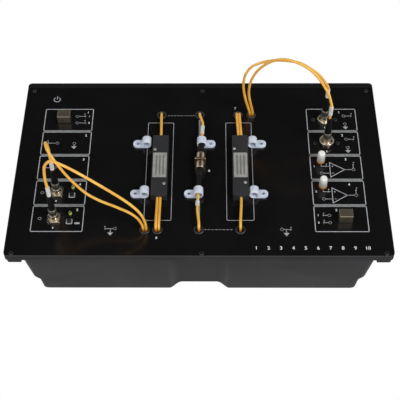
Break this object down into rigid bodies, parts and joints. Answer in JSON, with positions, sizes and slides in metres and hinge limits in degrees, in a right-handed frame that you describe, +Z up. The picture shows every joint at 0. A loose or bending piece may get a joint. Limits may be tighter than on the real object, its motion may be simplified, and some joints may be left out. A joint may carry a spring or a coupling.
{
  "type": "fibre optic trainer",
  "caption": "Bench trainer in a moulded case: black panel with light sources, detectors, a fibre link, coupler boxes, cable clips and looping amber fibre leads.",
  "frame": {"origin": "middle of the case on the surface it stands on, without the free fibres and their plugs", "axes": "+X along the case to the detector side, +Y to the back, +Z up"},
  "size_m": [0.42, 0.255, 0.2],
  "materials": {
    "case_plastic": "finely textured charcoal moulding",
    "panel": "high gloss black with printed pale lines",
    "rubber": "satin black rubber",
    "nickel": "warm nickel plate",
    "fibre_jacket": "smooth amber jacket",
    "nylon": "milky white nylon",
    "coupler_plastic": "satin dark grey moulding",
    "knob_plastic": "satin white with a coloured collar",
    "board": "green solder mask",
    "supply_metal": "galvanised sheet",
    "black_plastic": "satin black moulding"
  },
  "bodies": {
    "base": {"case_tub": "case_plastic", "foot_front_left": "rubber", "foot_back_left": "rubber", "foot_front_right": "rubber", "foot_back_right": "rubber", "mains_inlet": "black_plastic", "power_supply": "supply_metal", "front_panel": "panel", "main_board": "board", "grommet_multiplexer_back": "rubber", "grommet_link_back": "rubber", "grommet_demultiplexer_back": "rubber", "grommet_detectors": "rubber", "grommet_sources": "rubber", "grommet_multiplexer_front": "rubber", "grommet_link_front": "rubber", "grommet_demultiplexer_front": "rubber", "usb_socket_left": "nickel", "usb_socket_right": "nickel", "source_receptacle_1": "nickel", "source_receptacle_2": "nickel", "detector_receptacle_1": "nickel", "detector_receptacle_2": "nickel", "source_plug_1": "rubber", "source_plug_2": "rubber", "detector_plug_1": "rubber", "detector_plug_2": "rubber", "link_adapter": "nickel", "link_plug_back": "rubber", "link_plug_front": "rubber", "multiplexer_box": "coupler_plastic", "demultiplexer_box": "coupler_plastic", "clip_multiplexer_back": "nylon", "clip_demultiplexer_back": "nylon", "clip_link_back": "nylon", "clip_multiplexer_front": "nylon", "clip_demultiplexer_front": "nylon", "clip_link_front": "nylon", "source_fibre_1": "fibre_jacket", "source_fibre_2": "fibre_jacket", "detector_fibre_1": "fibre_jacket", "detector_fibre_2": "fibre_jacket", "source_lead_1": "fibre_jacket", "source_lead_2": "fibre_jacket", "detector_lead_1": "fibre_jacket", "detector_lead_2": "fibre_jacket", "link_lead_back": "fibre_jacket", "link_lead_front": "fibre_jacket"},
    "rocker": {"mains_rocker": "black_plastic"},
    "button_1": {"push_button_1": "black_plastic"},
    "button_2": {"push_button_2": "black_plastic"},
    "knob_1": {"bias_knob_1": "knob_plastic"},
    "knob_2": {"bias_knob_2": "knob_plastic"},
    "nut_source_1": {"source_nut_1": "nickel"},
    "nut_source_2": {"source_nut_2": "nickel"},
    "nut_detector_1": {"detector_nut_1": "nickel"},
    "nut_detector_2": {"detector_nut_2": "nickel"},
    "nut_link_back": {"link_nut_back": "nickel"},
    "nut_link_front": {"link_nut_front": "nickel"}
  },
  "joints": [
    {"name": "mains_rocker_tilt", "type": "hinge", "parent": "base", "child": "rocker", "pos_m": [-0.1285, 0.1185, 0.046], "axis": [1, 0, 0], "range_deg": [0, 16]},
    {"name": "push_button_1_travel", "type": "slide", "parent": "base", "child": "button_1", "axis": [0, 0, -1], "range_m": [0, 0.0012], "stiffness_N_per_m": 800},
    {"name": "push_button_2_travel", "type": "slide", "parent": "base", "child": "button_2", "axis": [0, 0, -1], "range_m": [0, 0.0012], "stiffness_N_per_m": 800},
    {"name": "bias_knob_1_turn", "type": "hinge", "parent": "base", "child": "knob_1", "pos_m": [0.1391, 0.0028, 0.09], "axis": [0, 0, 1], "range_deg": [-135, 135]},
    {"name": "bias_knob_2_turn", "type": "hinge", "parent": "base", "child": "knob_2", "pos_m": [0.1391, -0.0337, 0.09], "axis": [0, 0, 1], "range_deg": [-135, 135]},
    {"name": "source_nut_1_spin", "type": "hinge", "parent": "base", "child": "nut_source_1", "pos_m": [-0.16, -0.0415, 0.1], "axis": [0, 0, 1], "continuous": true},
    {"name": "source_nut_2_spin", "type": "hinge", "parent": "base", "child": "nut_source_2", "pos_m": [-0.16, -0.078, 0.1], "axis": [0, 0, 1], "continuous": true},
    {"name": "detector_nut_1_spin", "type": "hinge", "parent": "base", "child": "nut_detector_1", "pos_m": [0.1477, 0.0674, 0.1], "axis": [0, 0, 1], "continuous": true},
    {"name": "detector_nut_2_spin", "type": "hinge", "parent": "base", "child": "nut_detector_2", "pos_m": [0.1477, 0.0309, 0.102], "axis": [0, 0, 1], "continuous": true},
    {"name": "link_nut_back_spin", "type": "hinge", "parent": "base", "child": "nut_link_back", "pos_m": [0.0011, -0.002, 0.09415], "axis": [0.0454, 0.999, 0], "continuous": true},
    {"name": "link_nut_front_spin", "type": "hinge", "parent": "base", "child": "nut_link_front", "pos_m": [0.0011, -0.002, 0.09415], "axis": [0.0454, 0.999, 0], "continuous": true}
  ]
}
